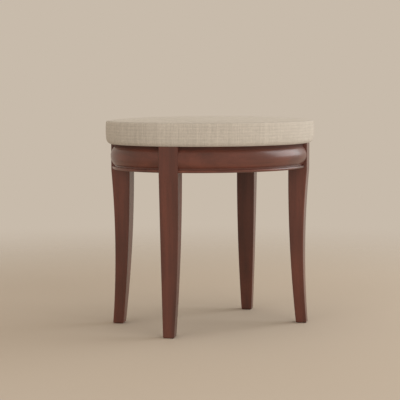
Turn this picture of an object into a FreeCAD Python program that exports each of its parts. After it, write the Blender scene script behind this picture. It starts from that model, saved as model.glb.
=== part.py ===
import FreeCAD, Part
import math
import os

# Upholstered oval vanity stool on four sabre legs, in millimetres.
# Origin on the floor under the middle of the seat, +X along the longer axis, +Z up.
# The plan is a four-centre oval: its arcs meet on the centre lines of the legs,
# where the outline faces exactly 45 degrees, and the legs' flat faces touch it there.

Vector = FreeCAD.Vector
UP = Vector(0, 0, 1)
ALONG = Vector(1, 0, 0)
QUARTER = math.pi / 4

# Plan and frame height
half_length = 231.0
half_width = 192.0
frame_top = 404.0

# Legs: radial depth, tangential width, sabre curves and foot
leg_depth = 42.0
leg_width = 41.4
foot_depth = 24.0
foot_width = 24.0
knee_drop = 4.0
knee_blend = 120.0
sabre_sag = 7.7
leg_arris = 2.0
foot_chamfer = 2.5

# Rails: heights of the mouldings from the top down, and their depths
strip_height = 7.0
frieze_height = 38.5
frieze_bulge = 7.5
quirk_height = 3.3
quirk_depth = 1.6
bead_height = 6.2
bead_setback = 3.8
bead_let_in = 6.5
rail_thickness = 30.0

# Dowels between rail and leg
dowel_radius = 4.0
dowel_length = 30.0
dowel_end_gap = 1.0
dowel_from_face = 18.0
dowel_pitch = 22.0

# Corner blocks behind the legs
block_web = 19.0
block_half_length = 68.0
block_height = 28.0
block_drop = 2.0
block_leg_gap = 0.5

# Wood screws
screw_shank_radius = 2.0
screw_core_radius = 1.4
screw_head_radius = 4.0
screw_head_height = 2.4
screw_point = 3.0
screw_tip_radius = 0.35
screw_hole_gap = 0.25
block_screw_length = 40.0
block_screw_offset = 29.0
block_screw_thread = 20.0
seat_screw_length = 35.0
seat_screw_bite = 9.5
seat_screw_thread = 16.0
drive_recess_radius = 1.5
drive_recess_floor_radius = 0.5
drive_recess_depth = 1.5

# Seat: outline, side and crown
seat_overhang = 11.0
seat_side_height = 50.0
seat_crown = 8.0
side_belly = 1.2
lower_round_in = 8.5
lower_round_up = 12.5
upper_round = 4.0
crown_reach = 120.0

# Seat: layers from the outside in
cover_thickness = 1.2
hem_width = 55.0
wadding_thickness = 4.0
foam_upper_round = 4.0
board_thickness = 12.0
board_edge_round = 8.0
dust_cover_thickness = 0.5
dust_cover_inset = 23.0

# Staples under the seat
staple_inset = 7.0
staple_pitch = 30.0
staple_crown = 10.0
staple_wire = 1.2
staple_wire_thickness = 0.6
staple_leg = 7.0
staple_leg_margin = 12.0

# Levels that follow from the sizes above
strip_bottom = frame_top - strip_height
frieze_bottom = strip_bottom - frieze_height
quirk_bottom = frieze_bottom - quirk_height
rail_bottom = quirk_bottom - bead_height
knee = rail_bottom - knee_drop
block_top = frame_top - block_drop
block_bottom = block_top - block_height
hem_bottom = frame_top + dust_cover_thickness
board_bottom = hem_bottom + cover_thickness
board_top = board_bottom + board_thickness
seat_edge = hem_bottom + seat_side_height
hem_edge = seat_overhang - hem_width
wadding_outer = seat_overhang - cover_thickness
board_outer = wadding_outer - wadding_thickness
frieze_back = -frieze_bulge
quirk_back = frieze_back - quirk_depth
bead_back = quirk_back - bead_let_in
rail_back = -rail_thickness

# Which leg stands where: sign of X, sign of Y
LEG_PLACES = {
    "front_left": (-1, -1),
    "front_right": (1, -1),
    "back_left": (-1, 1),
    "back_right": (1, 1),
}

# The direction that each rail faces: the end rails face along X and the long rails along Y
RAIL_PLACES = {
    "front": (0, -1),
    "back": (0, 1),
    "left": (-1, 0),
    "right": (1, 0),
}


def centre_distance(length, width):
    """Distance of the arc centres from the middle, for arcs that meet at 45 degrees."""
    return (length - width) / (2 - math.sqrt(2))


def arc_about(centre_x, centre_y, radius, start, end, z):
    """Horizontal arc about a centre, from one angle to another in radians."""
    points = []
    for angle in (start, (start + end) / 2, end):
        points.append(Vector(centre_x + radius * math.cos(angle), centre_y + radius * math.sin(angle), z))
    return Part.Arc(*points).toShape()


def oval_wire(length, width, z):
    """Closed four-centre oval with the given half length and half width."""
    shift = centre_distance(length, width)
    end_radius = length - shift
    side_radius = width + shift
    return Part.Wire([
        arc_about(shift, 0, end_radius, -QUARTER, QUARTER, z),
        arc_about(0, -shift, side_radius, QUARTER, 3 * QUARTER, z),
        arc_about(-shift, 0, end_radius, 3 * QUARTER, 5 * QUARTER, z),
        arc_about(0, shift, side_radius, 5 * QUARTER, 7 * QUARTER, z),
    ])


def oval_prism(offset, bottom, top):
    """Upright oval solid whose outline lies at an offset from the master oval."""
    wire = oval_wire(half_length + offset, half_width + offset, bottom)
    return Part.Face(wire).extrude(Vector(0, 0, top - bottom))


def tangent_arc(top, foot):
    """Arc in a vertical plane that leaves the upper point vertically and ends at the lower one.

    Both points are (sideways, height), and the result is (middle point, end point).
    """
    reach = foot[0] - top[0]
    drop = top[1] - foot[1]
    radius = (drop * drop + reach * reach) / (2 * abs(reach))
    half_turn = math.asin(drop / radius) / 2
    side = math.copysign(radius * (1 - math.cos(half_turn)), reach)
    return (top[0] + side, top[1] - radius * math.sin(half_turn)), foot


def place_on_leg(shape, place):
    """Move a shape from the leg's own frame to a leg's place.

    In the leg's own frame the outer face lies in the plane X = 0, with +X pointing outward.
    """
    sign_x, sign_y = place
    shift = centre_distance(half_length, half_width)
    end_radius = half_length - shift
    spot_x = shift + end_radius * math.cos(QUARTER)
    spot_y = end_radius * math.sin(QUARTER)
    outward = math.degrees(math.atan2(sign_y, sign_x))
    moved = shape.copy()
    moved.rotate(Vector(0, 0, 0), UP, outward)
    moved.translate(Vector(sign_x * spot_x, sign_y * spot_y, 0))
    return moved


def on_all_legs(shape):
    """The shape repeated at the four legs."""
    return [place_on_leg(shape, place) for place in LEG_PLACES.values()]


def place_on_rail(shape, place):
    """Move a shape from a rail's own frame, with its arc centre at the origin and facing +X."""
    facing = Vector(place[0], place[1], 0)
    shift = centre_distance(half_length, half_width)
    moved = shape.copy()
    moved.rotate(Vector(0, 0, 0), UP, math.degrees(math.atan2(place[1], place[0])))
    moved.translate(facing * (shift if is_end_rail(place) else -shift))
    return moved


def is_end_rail(place):
    """True for the two rails that face along X, whose arcs have the smaller radius."""
    return place[0] != 0


def rail_radius(place):
    """Radius of the master oval along a rail."""
    shift = centre_distance(half_length, half_width)
    return half_length - shift if is_end_rail(place) else half_width + shift


# Legs

def leg_side_profile():
    """Outline of the leg seen from its side: straight post, concave front, curved back."""
    chord = knee
    sabre_radius = (chord * chord / 4 + sabre_sag * sabre_sag) / (2 * sabre_sag)
    centre_x = sabre_radius - sabre_sag
    centre_z = chord / 2
    blend_top = centre_z + math.sqrt(sabre_sag * (2 * sabre_radius + 2 * knee_blend - sabre_sag))
    reach = sabre_radius + knee_blend
    sine = (blend_top - centre_z) / reach
    blend_end_x = -knee_blend + knee_blend * (centre_x + knee_blend) / reach
    blend_end_z = blend_top - knee_blend * sine
    half_turn = math.asin(sine) / 2
    blend_mid_x = -knee_blend * (1 - math.cos(half_turn))
    blend_mid_z = blend_top - knee_blend * math.sin(half_turn)
    back_mid, back_foot = tangent_arc((-leg_depth, knee), (-foot_depth, 0))

    def at(x, z):
        return Vector(x, 0, z)

    return Part.Face(Part.Wire([
        Part.LineSegment(at(-leg_depth, frame_top), at(0, frame_top)).toShape(),
        Part.LineSegment(at(0, frame_top), at(0, blend_top)).toShape(),
        Part.Arc(at(0, blend_top), at(blend_mid_x, blend_mid_z), at(blend_end_x, blend_end_z)).toShape(),
        Part.Arc(at(blend_end_x, blend_end_z), at(-sabre_sag, centre_z), at(0, 0)).toShape(),
        Part.LineSegment(at(0, 0), at(*back_foot)).toShape(),
        Part.Arc(at(*back_foot), at(*back_mid), at(-leg_depth, knee)).toShape(),
        Part.LineSegment(at(-leg_depth, knee), at(-leg_depth, frame_top)).toShape(),
    ]))


def leg_front_profile():
    """Outline of the leg seen from outside: straight post above two curved tapers."""
    half_top = leg_width / 2
    half_foot = foot_width / 2
    middle, foot = tangent_arc((half_top, knee), (half_foot, 0))

    def at(y, z):
        return Vector(0, y, z)

    return Part.Face(Part.Wire([
        Part.LineSegment(at(-half_top, frame_top), at(half_top, frame_top)).toShape(),
        Part.LineSegment(at(half_top, frame_top), at(half_top, knee)).toShape(),
        Part.Arc(at(half_top, knee), at(*middle), at(*foot)).toShape(),
        Part.LineSegment(at(*foot), at(-half_foot, 0)).toShape(),
        Part.Arc(at(-half_foot, 0), at(-middle[0], middle[1]), at(-half_top, knee)).toShape(),
        Part.LineSegment(at(-half_top, knee), at(-half_top, frame_top)).toShape(),
    ]))


def is_long_arris(edge):
    """True for the edges that run down the corners of a leg."""
    box = edge.BoundBox
    return box.ZLength > max(box.XLength, box.YLength)


def foot_taper():
    """Space that widens at 45 degrees from the sole, to chamfer the foot's lower edges."""
    outlines = []
    for level in (0, frame_top):
        grow = level - foot_chamfer
        outlines.append(Part.makePolygon([
            Vector(grow, foot_width / 2 + grow, level),
            Vector(grow, -foot_width / 2 - grow, level),
            Vector(-foot_depth - grow, -foot_width / 2 - grow, level),
            Vector(-foot_depth - grow, foot_width / 2 + grow, level),
            Vector(grow, foot_width / 2 + grow, level),
        ]))
    return Part.makeLoft(outlines, True, True)


def leg():
    """One leg in its own frame, with eased corners, chamfered foot and dowel holes."""
    margin = leg_width
    side = leg_side_profile().extrude(Vector(0, 2 * margin, 0))
    side.translate(Vector(0, -margin, 0))
    front = leg_front_profile().extrude(Vector(2 * leg_depth, 0, 0))
    front.translate(Vector(-1.5 * leg_depth, 0, 0))
    body = side.common(front)
    body = body.makeFillet(leg_arris, [edge for edge in body.Edges if is_long_arris(edge)])
    return body.common(foot_taper()).cut(Part.makeCompound(dowel_bores()))


# Dowels

def dowel_heights():
    """Heights of the two dowels of a joint, about the middle of the rail."""
    middle = (rail_bottom + frame_top) / 2
    return (middle - dowel_pitch / 2, middle + dowel_pitch / 2)


def dowel_cylinders(length):
    """Cylinders across both side faces of a leg, in the leg's own frame."""
    cylinders = []
    for side in (-1, 1):
        for height in dowel_heights():
            start = Vector(-dowel_from_face, side * leg_width / 2 - length / 2, height)
            cylinders.append(Part.makeCylinder(dowel_radius, length, start, Vector(0, 1, 0)))
    return cylinders


def dowel_bores():
    """The holes for the dowels, a little deeper than the dowels are long."""
    return dowel_cylinders(dowel_length + 2 * dowel_end_gap)


def dowels():
    """All the rail dowels."""
    return on_all_legs(Part.makeCompound(dowel_cylinders(dowel_length)))


# Rails and beads

def revolve_profile(edges):
    """Quarter turn of a closed profile drawn in the XZ plane, centred on +X."""
    face = Part.Face(Part.Wire(edges))
    solid = face.revolve(Vector(0, 0, 0), UP, math.degrees(2 * QUARTER))
    solid.rotate(Vector(0, 0, 0), UP, math.degrees(-QUARTER))
    return solid


def profile_lines(points):
    """Straight edges through points of the XZ plane, in order."""
    return [Part.LineSegment(a, b).toShape() for a, b in zip(points[:-1], points[1:])]


def rail_blank(place):
    """A rail's moulded section swept round its arc, from leg centre to leg centre."""
    radius = rail_radius(place)

    def at(offset, z):
        return Vector(radius + offset, 0, z)

    middle = (strip_bottom + frieze_bottom) / 2
    frieze = Part.Arc(at(frieze_back, strip_bottom), at(0, middle), at(frieze_back, frieze_bottom))
    above = profile_lines([at(rail_back, rail_bottom), at(rail_back, frame_top),
                           at(frieze_back, frame_top), at(frieze_back, strip_bottom)])
    below = profile_lines([at(frieze_back, frieze_bottom), at(quirk_back, frieze_bottom),
                           at(quirk_back, quirk_bottom), at(bead_back, quirk_bottom),
                           at(bead_back, rail_bottom), at(rail_back, rail_bottom)])
    return revolve_profile(above + [frieze.toShape()] + below)


def bead_blank(place):
    """The bead's section with its round nose, swept round the same arc."""
    radius = rail_radius(place)
    nose = bead_height / 2

    def at(offset, z):
        return Vector(radius + offset, 0, z)

    front = -bead_setback
    upper = at(front - nose, quirk_bottom)
    lower = at(front - nose, rail_bottom)
    tip = Part.Arc(upper, at(front, quirk_bottom - nose), lower)
    rest = profile_lines([lower, at(bead_back, rail_bottom), at(bead_back, quirk_bottom), upper])
    return revolve_profile([tip.toShape()] + rest)


def leg_gaps():
    """The room that the leg posts take up between the rails."""
    depth = leg_depth + rail_thickness
    corner = Vector(-1.5 * depth, -leg_width / 2, -frame_top / 2)
    gap = Part.makeBox(2 * depth, leg_width, 2 * frame_top, corner)
    return Part.makeCompound(on_all_legs(gap))


def rails():
    """The four rails between the legs, bored for dowels and block screws."""
    holes = Part.makeCompound(on_all_legs(Part.makeCompound(dowel_bores() + block_screw_bodies())))
    gaps = leg_gaps()
    made = {}
    for name, place in RAIL_PLACES.items():
        blank = place_on_rail(rail_blank(place), place)
        made["rail_" + name] = blank.cut(gaps).cut(holes)
    return made


def beads():
    """The four beads let into the lower edges of the rails."""
    gaps = leg_gaps()
    made = {}
    for name, place in RAIL_PLACES.items():
        made["bead_" + name] = place_on_rail(bead_blank(place), place).cut(gaps)
    return made


# Screws

def screw(length, thread):
    """Countersunk wood screw along +X, with the top of its head at the origin."""
    shank_end = length - thread
    tip = length - screw_point
    start = Vector(0, 0, 0)
    neck = Vector(screw_head_height, 0, 0)
    head = Part.makeCone(screw_head_radius, screw_shank_radius, screw_head_height, start, ALONG)
    shank = Part.makeCylinder(screw_shank_radius, shank_end - screw_head_height, neck, ALONG)
    core = Part.makeCylinder(screw_core_radius, tip - shank_end, Vector(shank_end, 0, 0), ALONG)
    point = Part.makeCone(screw_core_radius, screw_tip_radius, screw_point, Vector(tip, 0, 0), ALONG)
    recess = Part.makeCone(drive_recess_radius, drive_recess_floor_radius, drive_recess_depth, start, ALONG)
    return head.fuse([shank, core, point]).removeSplitter().cut(recess)


def block_face():
    """Position of a corner block's inner face in the leg's own frame."""
    return -(leg_depth + block_leg_gap + block_web)


def block_screw_spots():
    """Head centres of the two screws of a corner block, in the leg's own frame."""
    height = (block_top + block_bottom) / 2
    across = leg_width / 2 + block_screw_offset
    return [Vector(block_face(), side * across, height) for side in (-1, 1)]


def block_screw_bodies():
    """The two screws of a corner block, in the leg's own frame."""
    bodies = []
    for spot in block_screw_spots():
        body = screw(block_screw_length, block_screw_thread)
        body.translate(spot)
        bodies.append(body)
    return bodies


def seat_screw_head_level():
    """Height of the top of a seat screw's head, from its length and its bite in the board."""
    return board_bottom + seat_screw_bite - seat_screw_length


def seat_screw_spot():
    """Foot of a seat screw in the leg's own frame, in the middle of the block's web."""
    return Vector(block_face() + block_web / 2, 0, seat_screw_head_level())


def seat_screw_body():
    """One seat screw, pointing up, in the leg's own frame."""
    body = screw(seat_screw_length, seat_screw_thread)
    body.rotate(Vector(0, 0, 0), Vector(0, 1, 0), -90)
    body.translate(seat_screw_spot())
    return body


# Corner blocks

def corner_block():
    """One block in the leg's own frame, before it is trimmed to the rails."""
    inner = block_face()
    body = Part.makeBox(-inner, 2 * block_half_length, block_height,
                        Vector(inner, -block_half_length, block_bottom))
    notch_width = leg_width + 2 * block_leg_gap
    notch = Part.makeBox(leg_depth + block_leg_gap, notch_width, block_height,
                         Vector(-leg_depth - block_leg_gap, -notch_width / 2, block_bottom))
    body = body.cut(notch)
    hole_radius = screw_shank_radius + screw_hole_gap
    tools = []
    for spot in block_screw_spots():
        tools.append(Part.makeCylinder(hole_radius, -inner, spot, ALONG))
        tools.append(Part.makeCone(screw_head_radius, screw_shank_radius, screw_head_height, spot, ALONG))
    foot = seat_screw_spot()
    well_depth = foot.z - block_bottom
    tools.append(Part.makeCylinder(screw_head_radius + screw_hole_gap, well_depth,
                                   Vector(foot.x, foot.y, block_bottom), UP))
    tools.append(Part.makeCylinder(hole_radius, block_height, foot, UP))
    tools.append(Part.makeCone(screw_head_radius, screw_shank_radius, screw_head_height, foot, UP))
    return body.cut(tools)


def corner_blocks():
    """The four corner blocks, shaped to the inner faces of the rails."""
    inside = oval_prism(rail_back, block_bottom, block_top)
    made = {}
    for name, place in LEG_PLACES.items():
        made["corner_block_" + name] = place_on_leg(corner_block(), place).common(inside)
    return made


# Seat

def crowned_top(at, outer, edge, top_round):
    """Top edges of a pad's section: the upper round, then the crown up to its flat middle."""
    rim = outer - top_round
    bend = top_round * (1 - math.cos(QUARTER))
    rounding = Part.Arc(at(outer, edge - top_round), at(outer - bend, edge - bend), at(rim, edge))
    reach = rim + crown_reach
    radius = (reach * reach + seat_crown * seat_crown) / (2 * seat_crown)
    half_turn = math.asin(reach / radius) / 2
    top = edge + seat_crown
    middle = at(-crown_reach + radius * math.sin(half_turn), top - radius * (1 - math.cos(half_turn)))
    crown = Part.Arc(at(rim, edge), middle, at(-crown_reach, top))
    return [rounding.toShape(), crown.toShape()]


def turned_under_side(at, outer, bottom, edge, round_in, round_up, top_round):
    """Side edges of a pad's section: turned in at the bottom, with a slight belly above."""
    side = outer - side_belly
    radius = (round_in * round_in + round_up * round_up) / (2 * round_in)
    half_turn = math.asin(round_up / radius) / 2
    turn_top = bottom + round_up
    middle = at(side - radius * (1 - math.cos(half_turn)), turn_top - radius * math.sin(half_turn))
    turn = Part.Arc(at(side - round_in, bottom), middle, at(side, turn_top))
    upper = edge - top_round
    belly = Part.Arc(at(side, turn_top), at(outer, (turn_top + upper) / 2), at(side, upper))
    return [turn.toShape(), belly.toShape()]


def pad_solid(bottom, edge, section):
    """Crowned oval pad: its edge swept round the four arcs, and the flat middle."""
    rings = []
    for place in RAIL_PLACES.values():
        radius = rail_radius(place)

        def at(offset, z):
            return Vector(radius + offset, 0, z)

        rim = section(at)
        start = rim[0].Vertexes[0].Point
        top = edge + seat_crown
        inside = profile_lines([at(-crown_reach, top), at(-crown_reach, bottom), start])
        rings.append(place_on_rail(revolve_profile(rim + inside), place))
    middle = oval_prism(-crown_reach, bottom, edge + seat_crown)
    return middle.fuse(rings).removeSplitter()


def outer_pad():
    """Outside of the finished seat."""
    return pad_solid(hem_bottom, seat_edge, lambda at: (
        turned_under_side(at, seat_overhang, hem_bottom, seat_edge,
                          lower_round_in, lower_round_up, upper_round)
        + crowned_top(at, seat_overhang - side_belly, seat_edge, upper_round)))


def inner_pad():
    """Inside of the fabric cover, which the wadding fills."""
    edge = seat_edge - cover_thickness
    turn_in = lower_round_in - cover_thickness
    turn_up = lower_round_up - cover_thickness
    top_round = upper_round - cover_thickness
    return pad_solid(board_bottom, edge, lambda at: (
        turned_under_side(at, wadding_outer, board_bottom, edge, turn_in, turn_up, top_round)
        + crowned_top(at, wadding_outer - side_belly, edge, top_round)))


def foam_pad():
    """Foam on top of the board, with upright sides."""
    edge = seat_edge - cover_thickness - wadding_thickness
    return pad_solid(board_top, edge, lambda at: (
        profile_lines([at(board_outer, board_top), at(board_outer, edge - foam_upper_round)])
        + crowned_top(at, board_outer, edge, foam_upper_round)))


def staple_parts():
    """One staple about the origin with its crown along +Y, as crown and two legs."""
    bottom = frame_top - staple_wire_thickness
    corner = Vector(-staple_wire / 2, -staple_crown / 2, bottom)
    crown = Part.makeBox(staple_wire, staple_crown, staple_wire_thickness, corner)
    legs = []
    for side in (-1, 1):
        y = side * (staple_crown - staple_wire_thickness) / 2 - staple_wire_thickness / 2
        corner = Vector(-staple_wire / 2, y, bottom)
        height = staple_leg + staple_wire_thickness
        legs.append(Part.makeBox(staple_wire, staple_wire_thickness, height, corner))
    return crown.fuse(legs).removeSplitter()


def staples():
    """Staples along the inner side of each rail, spaced evenly clear of the legs."""
    made = []
    for place in RAIL_PLACES.values():
        radius = rail_radius(place) + rail_back - staple_inset
        keep_out = (leg_width / 2 + staple_leg_margin) / radius
        spread = 2 * (QUARTER - keep_out)
        count = max(2, round(radius * spread / staple_pitch) + 1)
        for number in range(count):
            angle = -spread / 2 + spread * number / (count - 1)
            body = staple_parts()
            body.translate(Vector(radius, 0, 0))
            body.rotate(Vector(0, 0, 0), UP, math.degrees(angle))
            made.append(place_on_rail(body, place))
    return made


def seat_pieces():
    """Board, foam, wadding, cover and dust cover, with staples and screws let into them."""
    fixings = Part.makeCompound(staples() + on_all_legs(seat_screw_body()))
    board = oval_prism(board_outer, board_bottom, board_top)
    lower_edges = [edge for edge in board.Edges if edge.BoundBox.ZMax < (board_bottom + board_top) / 2]
    board = board.makeFillet(board_edge_round, lower_edges)
    foam = foam_pad()
    inner = inner_pad()
    hem_hole = oval_prism(hem_edge, hem_bottom, board_bottom)
    cover = outer_pad().cut([inner, hem_hole])
    wadding = inner.cut([board, foam])
    dust_cover = oval_prism(seat_overhang - dust_cover_inset, frame_top, hem_bottom)
    return {
        "seat_board": board.cut(fixings),
        "seat_foam": foam,
        "seat_wadding": wadding,
        "seat_cover": cover.cut(fixings),
        "seat_dust_cover": dust_cover.cut(fixings),
    }


def model():
    """Every node of the stool by name."""
    nodes = {}
    for name, place in LEG_PLACES.items():
        nodes["leg_" + name] = place_on_leg(leg(), place)
    nodes.update(rails())
    nodes.update(beads())
    nodes.update(corner_blocks())
    nodes["rail_dowels"] = Part.makeCompound(dowels())
    nodes["block_screws"] = Part.makeCompound(on_all_legs(Part.makeCompound(block_screw_bodies())))
    nodes["seat_screws"] = Part.makeCompound(on_all_legs(seat_screw_body()))
    nodes["seat_staples"] = Part.makeCompound(staples())
    nodes.update(seat_pieces())
    return nodes


def main():
    os.makedirs("parts", exist_ok=True)
    for name, shape in model().items():
        group = Part.makeCompound(shape.Solids) if len(shape.Solids) != 1 else shape.Solids[0]
        group.exportStep("parts/" + name + ".step")
        volume = sum(solid.Volume for solid in group.Solids)
        print(name, "solids", len(group.Solids), "volume", round(volume), "valid", group.isValid())


main()
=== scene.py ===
"""Looks of a vanity stool: an oval linen pad on a moulded mahogany apron with four sabre legs.

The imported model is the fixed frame, and all lengths are in metres. The rigid nodes keep their
shapes and get their finishes here. The pad and the dust cover under it are made here.
"""

import logging
import math
from dataclasses import dataclass
from enum import Enum
from typing import Any, Callable, Iterable, Optional, Sequence, Union

import bpy
import numpy as np
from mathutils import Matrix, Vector


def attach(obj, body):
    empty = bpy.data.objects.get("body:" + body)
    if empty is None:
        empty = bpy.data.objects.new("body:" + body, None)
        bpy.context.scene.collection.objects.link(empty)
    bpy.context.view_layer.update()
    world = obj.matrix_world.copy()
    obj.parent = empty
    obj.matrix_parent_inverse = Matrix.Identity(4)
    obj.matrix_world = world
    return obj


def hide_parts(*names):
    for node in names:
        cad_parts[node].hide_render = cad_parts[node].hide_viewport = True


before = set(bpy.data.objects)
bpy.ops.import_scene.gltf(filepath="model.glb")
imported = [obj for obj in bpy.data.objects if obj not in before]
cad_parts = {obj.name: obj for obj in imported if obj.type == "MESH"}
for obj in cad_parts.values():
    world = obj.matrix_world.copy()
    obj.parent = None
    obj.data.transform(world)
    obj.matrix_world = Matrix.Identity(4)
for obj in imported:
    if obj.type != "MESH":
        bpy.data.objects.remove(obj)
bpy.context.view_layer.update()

LOG = logging.getLogger("vanity_stool")
MM = 0.001
QUARTER = math.pi / 4

Number = Union[int, float]
Colour = tuple[float, float, float]
Profile = Sequence[tuple[float, float]]
Socket = bpy.types.NodeSocket
Material = bpy.types.Material
Piece = bpy.types.Object
Points = np.ndarray


def linear(*channels: int) -> Colour:
    """The linear values that the shaders take, from 0 to 255 per channel as on a screen."""
    shares = (channel / 255 for channel in channels)
    return tuple(c / 12.92 if c <= 0.04045 else ((c + 0.055) / 1.055) ** 2.4 for c in shares)


# Shader maths


def math_method(operation: str, swapped: bool = False) -> Callable[..., "Value"]:
    """Make a method of Value that applies a Math node.

    Args:
        operation: The node's operation.
        swapped: True where the value is the last operand.

    Returns:
        The method, which takes the other operands.
    """
    def method(value: "Value", *others: "Operand") -> "Value":
        """Add the node and take its result."""
        operands = (*others, value) if swapped else (value, *others)
        settings = {"operation": operation}
        return value.graph.value("ShaderNodeMath", settings, dict(enumerate(operands)))

    return method


class Value:
    """A number in a shader, whose arithmetic adds Math nodes to its graph."""

    __add__ = __radd__ = math_method("ADD")
    __sub__ = math_method("SUBTRACT")
    __rsub__ = math_method("SUBTRACT", swapped=True)
    __mul__ = __rmul__ = math_method("MULTIPLY")
    __truediv__ = math_method("DIVIDE")
    __rtruediv__ = math_method("DIVIDE", swapped=True)
    __abs__ = math_method("ABSOLUTE")
    __floor__ = math_method("FLOOR")
    fraction = math_method("FRACT")
    sine = math_method("SINE")
    cosine = math_method("COSINE")
    root = math_method("SQRT")
    larger = math_method("MAXIMUM")
    above = math_method("GREATER_THAN")

    def __init__(self, graph: "Graph", socket: Socket) -> None:
        """Wrap a socket of a graph."""
        self.graph = graph
        self.socket = socket

    def within(self, low: Number, high: Number) -> "Value":
        """Smooth step from 0 at the low value to 1 at the high one."""
        ends = {"Value": self, "From Min": low, "From Max": high}
        return self.graph.value("ShaderNodeMapRange", {"interpolation_type": "SMOOTHSTEP"}, ends)


Operand = Union[Value, Number]
Input = Union[Value, Number, Sequence[float], Socket]
Settings = Optional[dict[str, Any]]
Inputs = Optional[dict[Union[int, str], Input]]


class Graph:
    """The node tree of one material."""

    def __init__(self, name: str) -> None:
        """Start an empty material."""
        self.material = bpy.data.materials.new(name)
        self.material.use_nodes = True
        self.tree = self.material.node_tree
        self.tree.nodes.clear()

    def node(self, kind: str, settings: Settings = None, inputs: Inputs = None) -> bpy.types.Node:
        """Add a node.

        Args:
            kind: The node's type.
            settings: Its own properties, set first; stops are a ramp's places and colours.
            inputs: Values or links of its sockets, by name or place.

        Returns:
            The node.
        """
        made = self.tree.nodes.new(kind)
        for key, setting in (settings or {}).items():
            if key == "stops":
                self._set_stops(made.color_ramp, setting)
            else:
                setattr(made, key, setting)
        for key, given in (inputs or {}).items():
            socket = made.inputs[key]
            source = given.socket if isinstance(given, Value) else given
            if isinstance(source, Socket):
                self.tree.links.new(source, socket)
            elif socket.type == "RGBA" and len(source) == 3:
                socket.default_value = (*source, 1.0)
            else:
                socket.default_value = source
        return made

    @staticmethod
    def _set_stops(ramp: bpy.types.ColorRamp, stops: Sequence[tuple[float, Colour]]) -> None:
        """Give a colour ramp its stops."""
        while len(ramp.elements) < len(stops):
            ramp.elements.new(0.5)
        for element, (place, colour) in zip(ramp.elements, stops):
            element.position = place
            element.color = (*colour, 1.0)

    def value(self, kind: str, settings: Settings = None, inputs: Inputs = None,
              output: Union[int, str] = 0) -> Value:
        """Add a node and take one of its outputs as a number."""
        return Value(self, self.node(kind, settings, inputs).outputs[output])

    def place(self) -> Socket:
        """The point's own coordinates, which are those of the row frame."""
        return self.node("ShaderNodeTexCoord").outputs["Object"]

    def split(self, vector: Socket) -> tuple[Value, Value, Value]:
        """The three parts of a vector."""
        parts = self.node("ShaderNodeSeparateXYZ", inputs={0: vector}).outputs
        return Value(self, parts[0]), Value(self, parts[1]), Value(self, parts[2])

    def join(self, x: Operand, y: Operand, z: Operand = 0.0) -> Socket:
        """A vector from three numbers."""
        return self.node("ShaderNodeCombineXYZ", inputs={0: x, 1: y, 2: z}).outputs[0]

    def noise(self, vector: Input, scale: Number = 1.0, detail: Number = 2.0,
              roughness: Number = 0.5) -> Value:
        """Noise from 0 to 1 about a half.

        Args:
            vector: Where it is read.
            scale: Its features per unit of the vector.
            detail: Its octaves.
            roughness: How strong the finer octaves are.

        Returns:
            The noise.
        """
        inputs = {"Vector": vector, "Scale": scale, "Detail": detail, "Roughness": roughness}
        return self.value("ShaderNodeTexNoise", {}, inputs, "Fac")

    def grain(self, way: Sequence[Value], lengthwise: Number, crosswise: Number,
              shift: Number = 0.0, **noise: Number) -> Value:
        """Noise drawn out along the first of three directions, with its features per metre."""
        where = self.join(way[0] * lengthwise + shift, way[1] * crosswise, way[2] * crosswise)
        return self.noise(where, **noise)

    def chance(self, vector: Input) -> Value:
        """An even random number from 0 to 1 for each value of a vector."""
        settings = {"noise_dimensions": "3D"}
        return self.value("ShaderNodeTexWhiteNoise", settings, {"Vector": vector}, "Value")

    def mix(self, factor: Operand, first: Input, second: Input) -> Socket:
        """Mix two colours; the factor says how much of the second shows."""
        settings = {"data_type": "RGBA", "blend_type": "MIX", "clamp_factor": True}
        return self.node("ShaderNodeMix", settings, {0: factor, 6: first, 7: second}).outputs[2]

    def shade(self, colour: Input, brightness: Value) -> Socket:
        """A colour made lighter or darker by a number about one."""
        inputs = {0: colour, 1: self.join(brightness, brightness, brightness)}
        return self.node("ShaderNodeVectorMath", {"operation": "MULTIPLY"}, inputs).outputs[0]

    def ramp(self, factor: Value, stops: Sequence[tuple[float, Colour]]) -> Socket:
        """Colours along a ramp."""
        return self.node("ShaderNodeValToRGB", {"stops": stops}, {0: factor}).outputs[0]

    def edge_nearness(self, radius: float) -> Value:
        """Find edges by how far a rounded normal leans away from the plain one.

        Args:
            radius: How far from an edge it shows.

        Returns:
            From 0 on open faces to 1 on edges.
        """
        rounded = self.node("ShaderNodeBevel", {"samples": 4}, {"Radius": radius}).outputs[0]
        plain = self.node("ShaderNodeNewGeometry").outputs["Normal"]
        settings = {"operation": "DOT_PRODUCT"}
        along = self.value("ShaderNodeVectorMath", settings, {0: rounded, 1: plain}, "Value")
        return (1 - along).within(0.004, 0.16)

    def bump(self, height: Value, distance: float, strength: float, **under: Socket) -> Socket:
        """A normal from a height of 0 to 1 over a distance in metres, on top of another Normal."""
        inputs = {"Strength": strength, "Distance": distance, "Height": height, **under}
        return self.node("ShaderNodeBump", {}, inputs).outputs[0]

    def finish(self, **inputs: Input) -> Material:
        """Close the graph with the main shader.

        Args:
            inputs: The shader's sockets, with underscores for spaces.

        Returns:
            The finished material.
        """
        named = {key.replace("_", " "): given for key, given in inputs.items()}
        shader = self.node("ShaderNodeBsdfPrincipled", {}, named)
        self.node("ShaderNodeOutputMaterial", {}, {"Surface": shader.outputs[0]})
        return self.material


# Finishes


class Grain(Enum):
    """Which way the grain of a wooden piece runs."""

    LONG = (0, 1, 2)
    CROSS = (1, 0, 2)
    UPRIGHT = (2, 0, 1)


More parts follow.
